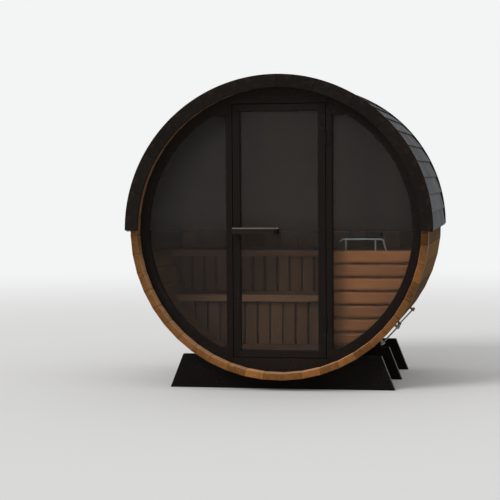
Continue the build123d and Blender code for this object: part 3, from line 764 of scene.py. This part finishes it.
def glassMaterial():
    look = glass
    material, tree, surface, place = startMaterial("tintedGlass")
    height = splitAxes(tree, place)[2]
    haze = noise(tree, place, *look["hazeNoise"])
    less, more = (scaleColour(look["tintAndPaintedVeil"], part) for part in look["tintSpread"])
    streak = noise(tree, vectorCalc(tree, "MULTIPLY", place, look["streakStretch"]), *look["streakNoise"])
    dull = remap(tree, height, *look["dull"], smooth=True)
    aslant = put(tree, "LayerWeight")
    feed(tree, aslant.inputs["Blend"], 0.5)
    feed(tree, surface.inputs["Base Color"], mixColour(tree, haze, less, more))
    feed(tree, surface.inputs["Roughness"], calc(tree, "ADD", dull, remap(tree, streak, *look["streaks"])))
    # painted reflection: the grey veil covers more towards the top
    feed(tree, surface.inputs["Alpha"], remap(tree, height, *look["paintedReflection"], smooth=True))
    feed(tree, surface.inputs["Transmission Weight"], look["clear"])
    feed(tree, surface.inputs["IOR"], look["bend"])
    feed(tree, surface.inputs["Specular IOR Level"], 0.0)
    shine = remap(tree, aslant.outputs["Facing"], *look["aslant"], smooth=True)
    feed(tree, surface.inputs["Coat Weight"], shine)
    feed(tree, surface.inputs["Coat Roughness"], look["coatRoughness"])

    # Shadow rays go straight through, tinted
    clear = put(tree, "BsdfTransparent")
    feed(tree, clear.inputs[0], (*look["lampTint"], 1.0))
    isShadow = put(tree, "LightPath").outputs["Is Shadow Ray"]
    endWithMix(tree, isShadow, surface.outputs[0], clear.outputs[0])
    return material


def give(material, *names):
    for name in names:
        mesh = frame["nodes"][name].data
        mesh.materials.clear()
        mesh.materials.append(material)


give(staveMaterial(), *[f"staves_{k}" for k in range(1, 7)])
give(fasciaMaterial(), "fascia_front", "fascia_rear")
give(cradleMaterial(), "cradle_front", "cradle_middle", "cradle_rear")
give(shingleMaterial("roofFelt", False), "roof_left", "roof_right", "roof_ridge")
give(steelMaterial("stainlessSteel", steelLook), "guard_rail")
give(steelMaterial("hoopSteel", hoopLook), "hoops")
give(steelMaterial("threadedRod", rodLook, threaded=True), "tension_rods")
give(steelMaterial("darkSteel", hingeLook), "hinges_frame", "hinges_door")
give(glassMaterial(), "side_glass_left", "side_glass_right", "door_glass")

give(
    boardMaterial("frameUpright", darkLook, "zxy", seed=0.55),
    "front_posts", "door_stile_hinge", "door_stile_handle", "door_stops",
)
give(boardMaterial("frameLevel", levelLook, "xzy", seed=0.35), "front_header", "front_sill", "door_rails")
give(boardMaterial("frameCurved", curvedLook, "zxy", seed=0.6), "front_arc_left", "front_arc_right")
# the handle's upward faces take a painted highlight
give(boardMaterial("handleWood", handleLook, "xzy", other=paintedTopHighlight, turn=(0, 0, 1)), "door_handle")
# the blocks take the painted shade of their darker copy
give(boardMaterial("handleBlocks", shadedBlockLook, "xzy"), "door_handle_blocks")

rearBoards = 15
rearPitch = (wallBox[1].x - wallBox[0].x) / rearBoards
give(
    boardMaterial(
        "rearBoards", staveLook, "zxy", "x", wallBox[0].x, rearPitch,
        joints=True, other=cabinLook, turn=(0, -1, 0),
    ),
    "rear_wall",
)

# Benches: the nosings' numbers pick the darker board for the upper seat, a painted shade on the nosing
# further from the glass
benches = {
    "upperBoards": 5,
    "lowerBoards": 3,
    "gap": 0.008,
    "nosingStart": -7.9075,
    "nosingPitch": 0.309,
    "skirtJoint": 0.0323,
    "skirtPitch": 0.0926,
}


def finishSeat(name, node, count):
    front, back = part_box(node)[0].y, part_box(node)[1].y
    pitch = (back - front + benches["gap"]) / count
    give(boardMaterial(name, rawLook, "xyz", "y", front, pitch), node)


finishSeat("upperSeat", "bench_upper_seat", benches["upperBoards"])
finishSeat("lowerSeat", "bench_lower_seat", benches["lowerBoards"])
give(
    boardMaterial("benchFront", nosingLook, "xzy", "z", benches["nosingStart"], benches["nosingPitch"]),
    "bench_nosings",
)
give(
    boardMaterial(
        "benchSlats", skirtLook, "zxy", "x", benches["skirtJoint"], benches["skirtPitch"], joints=True,
    ),
    "bench_upper_skirt", "bench_lower_skirt",
)
give(boardMaterial("benchRails", rawLook, "xzy", seed=0.7), "bench_skirt_rails")
give(boardMaterial("benchFrame", rawLook, "yxz", seed=0.4), "bench_supports", "floor_runners")

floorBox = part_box("floor_slats")
floorSlats, slatWidth = 5, 0.084
floorPitch = (floorBox[1].y - floorBox[0].y - slatWidth) / (floorSlats - 1)
give(boardMaterial("floorBoards", rawLook, "xyz", "y", floorBox[0].y, floorPitch), "floor_slats")

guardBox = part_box("guard_slats")
guard = {"boards": 9, "pitch": 0.0945, "gap": 0.0115, "postWidth": 0.040}
guardStart = guardBox[1].z + guard["gap"] / 2 - guard["boards"] * guard["pitch"]
give(
    boardMaterial("guardBoards", guardLook, "xzy", "z", guardStart, guard["pitch"], joints=True),
    "guard_slats",
)
give(boardMaterial("guardFrame", guardLook, "zxy", seed=0.3), "guard_posts")
print("finishes given to the packed pieces")


# Finishes a modelled piece: normals, mesh, material, body and slot
def finishPiece(name, shape, material, body):
    bmesh.ops.recalc_face_normals(shape, faces=shape.faces)
    mesh = bpy.data.meshes.new(name)
    shape.to_mesh(mesh)
    shape.free()
    mesh.materials.append(material)
    piece = bpy.data.objects.new(name, mesh)
    bpy.context.scene.collection.objects.link(piece)
    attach(piece, body)


# Adds a copy of a template to a shape, turned and moved if a matrix is given, and returns its faces
def addCopy(shape, template, matrix=Matrix()):
    before = len(shape.faces)
    mesh = bpy.data.meshes.new("copy")
    template.to_mesh(mesh)
    mesh.transform(matrix)
    shape.from_mesh(mesh)
    bpy.data.meshes.remove(mesh)
    shape.faces.ensure_lookup_table()
    return shape.faces[before:]


# Cuts away what lies beyond a plane and closes the cut
def cutOff(shape, point, outward):
    cut = bmesh.ops.bisect_plane(
        shape, geom=[*shape.verts, *shape.edges, *shape.faces],
        plane_co=point, plane_no=outward, clear_outer=True,
    )
    rim = [item for item in cut["geom_cut"] if isinstance(item, bmesh.types.BMEdge)]
    if rim:
        bmesh.ops.edgenet_fill(shape, edges=rim)


# A bar with its edges taken off, between two corners
def softBar(low, high, edge, segments=1):
    shape = bmesh.new()
    size = Vector(high) - Vector(low)
    matrix = Matrix.Translation((Vector(low) + Vector(high)) / 2) @ Matrix.Diagonal((*size, 1.0))
    bmesh.ops.create_cube(shape, size=1.0, matrix=matrix)
    bmesh.ops.bevel(shape, geom=shape.edges[:], offset=edge, segments=segments, **softEdge)
    return shape


# A point on a ring round the barrel's axis, at an angle above the level on the right
def onRing(radius, degrees, y=0.0):
    turn = math.radians(degrees)
    return Vector((radius * math.cos(turn), y, barrel["axisHeight"] + radius * math.sin(turn)))


# Roof: shingle tabs laid over each course, from the eaves to the ridge
shingles = {
    "courses": 13,
    "pitch": 90.0 / 13.5,        # degrees from one butt to the next
    "butt": 1.0483,
    "thin": 1.0383,
    "tab": 1.0 / 3.0,
    "slot": 0.008,
    "thickness": 0.0034,
    "overhang": 0.004,
    "short": 0.001,              # by how much a tab ends before the next course
    "above": 0.0002,
    "corner": 0.007,
    "rounding": 0.25,            # of the thickness
    "stagger": 0.02,
    "lift": 0.0012,
    "turn": 0.10,                # degrees that a tab may lie askew
    "end": 0.7745,
    "seeds": {1: 12, -1: 13},
}


# One tab: length along the barrel, up the slope from its butt, and outwards
def tabShape(length, height, thickness, corner):
    shape = bmesh.new()
    matrix = Matrix.Translation((0, height / 2, thickness / 2))
    bmesh.ops.create_cube(shape, size=1.0, matrix=matrix @ Matrix.Diagonal((length, height, thickness, 1.0)))
    upright = [
        edge for edge in shape.edges
        if abs(edge.verts[0].co.z - edge.verts[1].co.z) > thickness / 2 and edge.verts[0].co.y < height / 2
    ]
    bmesh.ops.bevel(shape, geom=upright, offset=corner, segments=3, **softEdge)
    rim = [edge for edge in shape.edges if min(vert.co.z for vert in edge.verts) > thickness * nearTop]
    bmesh.ops.bevel(shape, geom=rim, offset=thickness * shingles["rounding"], segments=1, **softEdge)
    return shape


def makeShingles(side):
    look = shingles
    dice = random.Random(look["seeds"][side])
    shape = bmesh.new()
    shade = shape.faces.layers.float.new("tabShade")
    for course in range(look["courses"]):
        low = onRing(look["butt"], course * look["pitch"])
        high = onRing(look["thin"], (course + 1) * look["pitch"])
        upSlope = (high - low).normalized()
        outward = Vector((upSlope.z, 0, -upSlope.x))
        height = (high - low).length + look["overhang"] - look["short"]
        slope = Matrix((Vector((0, -1, 0)), upSlope, outward)).transposed().to_4x4()
        pivot = Matrix.Translation((0, height, 0))
        start = -look["end"] - look["tab"] * (0.5 if course % 2 else 0.0)
        start -= dice.uniform(0.0, look["stagger"])
        while start < look["end"]:
            tab = tabShape(look["tab"] - look["slot"], height, look["thickness"], look["corner"])
            lift = Matrix.Rotation(-dice.uniform(0.0, look["lift"]) / height, 4, "X")
            turn = Matrix.Rotation(math.radians(dice.uniform(-look["turn"], look["turn"])), 4, "Z")
            middle = Vector((0, start + look["tab"] / 2, 0))
            place = Matrix.Translation(low - upSlope * look["overhang"] + outward * look["above"] + middle)
            matrix = place @ slope @ pivot @ lift @ turn @ pivot.inverted()
            bmesh.ops.transform(tab, verts=tab.verts, matrix=matrix)
            cutOff(tab, (0, look["end"], 0), (0, 1, 0))
            cutOff(tab, (0, -look["end"], 0), (0, -1, 0))
            if side < 0:
                bmesh.ops.mirror(tab, geom=[*tab.verts, *tab.edges, *tab.faces], axis="X", matrix=Matrix())
                first = [face for face in tab.faces if face.calc_center_median().x > 0]
                bmesh.ops.delete(tab, geom=first, context="FACES")
            if len(tab.faces):
                tone = dice.random()
                for face in addCopy(shape, tab):
                    face[shade] = tone
            tab.free()
            start += look["tab"]
    name = "shinglesRight" if side > 0 else "shinglesLeft"
    finishPiece(name, shape, tabMaterial, "barrel")


# Ridge: bent caps, each lapped over the one in front of it
ridgeCaps = {
    "halfAngle": 3.6,
    "steps": 8,
    "exposure": 0.141,
    "lap": 0.02,
    "shortest": 0.01,
    "thickness": 0.003,
    "base": 1.0485,
    "clear": 0.0002,
    "seed": 5,
}


def makeRidgeCaps():
    look = ridgeCaps
    dice = random.Random(look["seed"])
    shape = bmesh.new()
    shade = shape.faces.layers.float.new("tabShade")
    start, last = -shingles["end"], shingles["end"]
    side = 90 - look["halfAngle"]
    while start < last - look["shortest"]:
        stop = min(start + look["exposure"] + look["lap"], last)
        cap = bmesh.new()
        front = cap.verts.new(onRing(look["base"] + look["thickness"] + look["clear"], side, start))
        back = cap.verts.new(onRing(look["base"], side, stop))
        edge = cap.edges.new((front, back))
        bmesh.ops.spin(
            cap, geom=[front, back, edge], cent=(0, 0, barrel["axisHeight"]), axis=(0, -1, 0),
            angle=math.radians(2 * look["halfAngle"]), steps=look["steps"], use_merge=False,
        )
        bmesh.ops.recalc_face_normals(cap, faces=cap.faces)
        if cap.faces[:][0].normal.z < 0:
            bmesh.ops.reverse_faces(cap, faces=cap.faces)
        bmesh.ops.solidify(cap, geom=cap.faces[:], thickness=-look["thickness"])
        tone = dice.random()
        for face in addCopy(shape, cap):
            face[shade] = tone
        cap.free()
        start += look["exposure"]
    finishPiece("ridgeCaps", shape, tabMaterial, "barrel")


# Eaves: a thin edging under the first course on both sides
eaves = {"inner": 1.0250, "outer": 1.0500, "top": 0.0045, "bottom": 0.0075, "edge": 0.001}


def makeEaves():
    shape = bmesh.new()
    end = shingles["end"]
    top, bottom = barrel["axisHeight"] - eaves["top"], barrel["axisHeight"] - eaves["bottom"]
    for side in (-1, 1):
        low, high = sorted((side * eaves["inner"], side * eaves["outer"]))
        bar = softBar((low, -end, bottom), (high, end, top), eaves["edge"])
        addCopy(shape, bar)
        bar.free()
    finishPiece("eaveEdging", shape, eaveMetal, "barrel")


tabMaterial = shingleMaterial("shingleTabs", True)
eaveMetal = steelMaterial("eaveMetal", hingeLook)
makeShingles(1)
makeShingles(-1)
makeRidgeCaps()
makeEaves()
print("roof covered")


# Panes: black rubber seals between the glass and its frame, on both faces, round the glass that shows
seals = {
    "width": 0.006,
    "depth": 0.004,
    "edge": 0.0012,
    "sharp": 0.8,                # radians between two faces, above which the edge between them is rounded
    "radius": 0.915,
    "covered": 0.012,            # how much of the glass its frame covers
    "segments": 128,
}


# Turns a flat outline into a ring of rubber in front of the glass, and the same one behind it
def sealRing(outline, glassBox):
    inset = bmesh.ops.inset_region(
        outline, faces=outline.faces[:], thickness=seals["width"], use_boundary=True, use_even_offset=True,
    )
    inner = [face for face in outline.faces if face not in inset["faces"]]
    bmesh.ops.delete(outline, geom=inner, context="FACES")
    ring = bmesh.ops.extrude_face_region(outline, geom=outline.faces[:])
    moved = [item for item in ring["geom"] if isinstance(item, bmesh.types.BMVert)]
    bmesh.ops.translate(outline, verts=moved, vec=(0, -seals["depth"], 0))
    bmesh.ops.recalc_face_normals(outline, faces=outline.faces)
    lip = [
        edge for edge in outline.edges
        if all(vert in moved for vert in edge.verts) and edge.calc_face_angle(0) > seals["sharp"]
    ]
    bmesh.ops.bevel(outline, geom=lip, offset=seals["edge"], segments=2, **softEdge)
    both = bmesh.new()
    addCopy(both, outline, Matrix.Translation((0, glassBox[0].y, 0)))
    addCopy(both, outline, Matrix.Translation((0, glassBox[1].y, 0)) @ Matrix.Diagonal((1, -1, 1, 1)))
    outline.free()
    return both


def shownPart(glassBox):
    covered = Vector((seals["covered"], 0, seals["covered"]))
    return glassBox[0] + covered, glassBox[1] - covered


def makeSideSeal(name, node, side):
    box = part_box(node)
    low, high = shownPart(box)
    outline = bmesh.new()
    upright = Matrix.Translation((0, 0, barrel["axisHeight"])) @ Matrix.Rotation(math.pi / 2, 4, "X")
    bmesh.ops.create_circle(
        outline, cap_ends=True, segments=seals["segments"], radius=seals["radius"], matrix=upright,
    )
    cutOff(outline, (low.x if side > 0 else high.x, 0, 0), (-side, 0, 0))
    cutOff(outline, (0, 0, high.z), (0, 0, 1))
    cutOff(outline, (0, 0, low.z), (0, 0, -1))
    finishPiece(name, sealRing(outline, box), sealRubber, "barrel")


def makeDoorPaneSeal():
    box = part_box("door_glass")
    low, high = shownPart(box)
    size, middle = high - low, (low + high) / 2
    outline = bmesh.new()
    place = Matrix.Translation((middle.x, 0, middle.z)) @ Matrix.Rotation(math.pi / 2, 4, "X")
    bmesh.ops.create_grid(outline, x_segments=1, y_segments=1, size=0.5)
    bmesh.ops.transform(outline, verts=outline.verts, matrix=place @ Matrix.Diagonal((size.x, size.z, 1, 1)))
    finishPiece("doorPaneSeal", sealRing(outline, box), sealRubber, "door")


# Door seal: a strip on each stop, which the leaf closes against
doorSeal = {
    "depth": 0.0035,
    "width": 0.008,
    "edge": 0.0012,
    "fromSide": 0.037,           # from the stops' outer sides, top and bottom to the strip
    "fromTop": 0.016,
    "fromBottom": 0.004,
}


def makeDoorSeal():
    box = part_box("door_stops")
    front, width = box[0].y, doorSeal["width"]
    inner = box[1].x - doorSeal["fromSide"]
    top, bottom = box[1].z - doorSeal["fromTop"], box[0].z + doorSeal["fromBottom"]
    shape = bmesh.new()
    for left, right, below in (
        (inner, inner + width, bottom), (-inner - width, -inner, bottom), (-inner, inner, top - width),
    ):
        bar = softBar((left, front - doorSeal["depth"], below), (right, front, top), doorSeal["edge"], 2)
        addCopy(shape, bar)
        bar.free()
    finishPiece("doorSeal", shape, sealRubber, "barrel")


sealRubber = rubberMaterial()
makeSideSeal("paneSealLeft", "side_glass_left", -1)
makeSideSeal("paneSealRight", "side_glass_right", 1)
makeDoorPaneSeal()
makeDoorSeal()
print("seals made")


# Screws: a sunk head with a socket, its top towards +z
screws = {"radius": 0.0036, "topRadius": 0.86, "height": 0.0010, "socket": 0.0016, "sunk": 0.8, "sides": 12}


def screwHead(scale=1.0):
    shape = bmesh.new()
    radius, height = screws["radius"], screws["height"]
    topRadius = radius * screws["topRadius"]
    bmesh.ops.create_cone(
        shape, cap_ends=True, segments=screws["sides"], radius1=radius, radius2=topRadius,
        depth=height, matrix=Matrix.Translation((0, 0, height / 2)),
    )
    top = [face for face in shape.faces if face.calc_center_median().z > height * nearTop]
    bmesh.ops.inset_region(shape, faces=top, thickness=topRadius - screws["socket"])
    socket = [vert for face in top for vert in face.verts]
    bmesh.ops.translate(shape, verts=socket, vec=(0, 0, -height * screws["sunk"]))
    bmesh.ops.scale(shape, verts=shape.verts, vec=(scale, scale, scale))
    return shape


# Places a head at each point, with its top towards a direction
def makeScrews(name, points, towards, material, body, scale=1.0):
    head = screwHead(scale)
    turn = Vector((0, 0, 1)).rotation_difference(Vector(towards)).to_matrix().to_4x4()
    dice = random.Random(len(name))
    shape = bmesh.new()
    for point in points:
        spin = Matrix.Rotation(dice.uniform(0, math.pi), 4, "Z")
        addCopy(shape, head, Matrix.Translation(point) @ turn @ spin)
    head.free()
    finishPiece(name, shape, material, body)


hinges = {"leafHeight": 0.090, "screwSpread": 0.030, "fromAxis": 0.0205}


def makeHingeScrews():
    axis = frame["joints"][0]["pos_m"][0]
    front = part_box("hinges_door")[0].y
    for node, body, side in (("hinges_frame", "barrel", 1), ("hinges_door", "door", -1)):
        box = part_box(node)
        x, half = axis + side * hinges["fromAxis"], hinges["leafHeight"] / 2
        points = [
            (x, front, middle + step * hinges["screwSpread"])
            for middle in (box[1].z - half, box[0].z + half) for step in (-1, 0, 1)
        ]
        makeScrews(node + "Screws", points, (0, -1, 0), blackScrews, body)


# Guard: boards screwed on from behind, through the posts
guardScrews = {"rows": 7, "rise": 0.02, "scale": 1.1}


def makeGuardScrews():
    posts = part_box("guard_posts")
    half, rise = guard["postWidth"] / 2, guardScrews["rise"]
    first = guardBox[1].z - (guard["pitch"] - guard["gap"]) / 2
    points = [
        (x, posts[1].y, first - row * guard["pitch"] + step)
        for x in (posts[0].x + half, posts[1].x - half)
        for row in range(guardScrews["rows"]) for step in (-rise, rise)
    ]
    makeScrews("guardScrews", points, (0, 1, 0), screwSteel, "barrel", guardScrews["scale"])


screwSteel = steelMaterial("screwSteel", screwLook)
blackScrews = steelMaterial("blackScrews", {**hingeLook, "roughness": 0.45})
makeHingeScrews()
makeGuardScrews()
print("screws set")


# Studio: a pale floor that fades into the backdrop, soft light from all round and one soft lamp
studio = {
    "floor": (0.78, 0.775, 0.765),
    "floorRoughness": 0.95,
    "floorRadius": 60.0,
    "floorSides": 96,
    "backdrop": (0.90, 0.905, 0.91),
    "fade": (4.0, 14.0),
    "worldLight": 0.72,
    "lampPower": 1.3,
    "lampAngle": 24.0,
    "lampTurn": (52.0, 0.0, -38.0),
}


def makeFloor():
    mesh = bpy.data.meshes.new("studioFloor")
    shape = bmesh.new()
    bmesh.ops.create_circle(shape, cap_ends=True, segments=studio["floorSides"], radius=studio["floorRadius"])
    shape.to_mesh(mesh)
    shape.free()
    floor = bpy.data.objects.new("studioFloor", mesh)
    bpy.context.scene.collection.objects.link(floor)
    material, tree, surface, place = startMaterial("studioFloor")
    feed(tree, surface.inputs["Base Color"], (*studio["floor"], 1.0))
    feed(tree, surface.inputs["Roughness"], studio["floorRoughness"])
    feed(tree, surface.inputs["Specular IOR Level"], 0.0)
    glow = put(tree, "Emission")
    feed(tree, glow.inputs[0], (*studio["backdrop"], 1.0))
    fade = remap(tree, vectorCalc(tree, "LENGTH", place), *studio["fade"], smooth=True)
    endWithMix(tree, calc(tree, "MULTIPLY", fade, seeingRays(tree)), surface.outputs[0], glow.outputs[0])
    mesh.materials.append(material)


def makeLight():
    world = bpy.data.worlds.new("studioWorld")
    bpy.context.scene.world = world
    world.use_nodes = True
    tree = world.node_tree
    tree.nodes.clear()
    back = put(tree, "Background")
    feed(tree, back.inputs["Color"], (*studio["backdrop"], 1.0))
    feed(tree, back.inputs["Strength"], remap(tree, seeingRays(tree), 0.0, 1.0, studio["worldLight"], 1.0))
    end = put(tree, "OutputWorld")
    tree.links.new(back.outputs[0], end.inputs["Surface"])

    lamp = bpy.data.lights.new("softLamp", "SUN")
    lamp.energy = studio["lampPower"]
    lamp.angle = math.radians(studio["lampAngle"])
    holder = bpy.data.objects.new("softLamp", lamp)
    holder.rotation_euler = [math.radians(turn) for turn in studio["lampTurn"]]
    bpy.context.scene.collection.objects.link(holder)


# Camera: its place, turn, tilt and lens were fitted to the round edges and the cradles
view = {
    "place": (1.681, -11.255, 1.467),
    "turn": 10.1,
    "tilt": -2.69,
    "lean": -0.36,
    "lens": 112.8,
    "sensor": 36.0,
    "reach": 200.0,
}


def makeCamera():
    camera = bpy.data.cameras.new("camera")
    camera.lens = view["lens"]
    camera.sensor_width = view["sensor"]
    camera.clip_end = view["reach"]
    holder = bpy.data.objects.new("camera", camera)
    turn = Matrix.Rotation(math.radians(view["turn"]), 4, "Z")
    tilt = Matrix.Rotation(math.radians(90 + view["tilt"]), 4, "X")
    lean = Matrix.Rotation(math.radians(view["lean"]), 4, "Z")
    holder.matrix_world = Matrix.Translation(view["place"]) @ turn @ tilt @ lean
    bpy.context.scene.collection.objects.link(holder)
    bpy.context.scene.camera = holder


makeFloor()
makeLight()
makeCamera()
bpy.context.scene.view_settings.view_transform = "Standard"
print("floor, light and camera made")
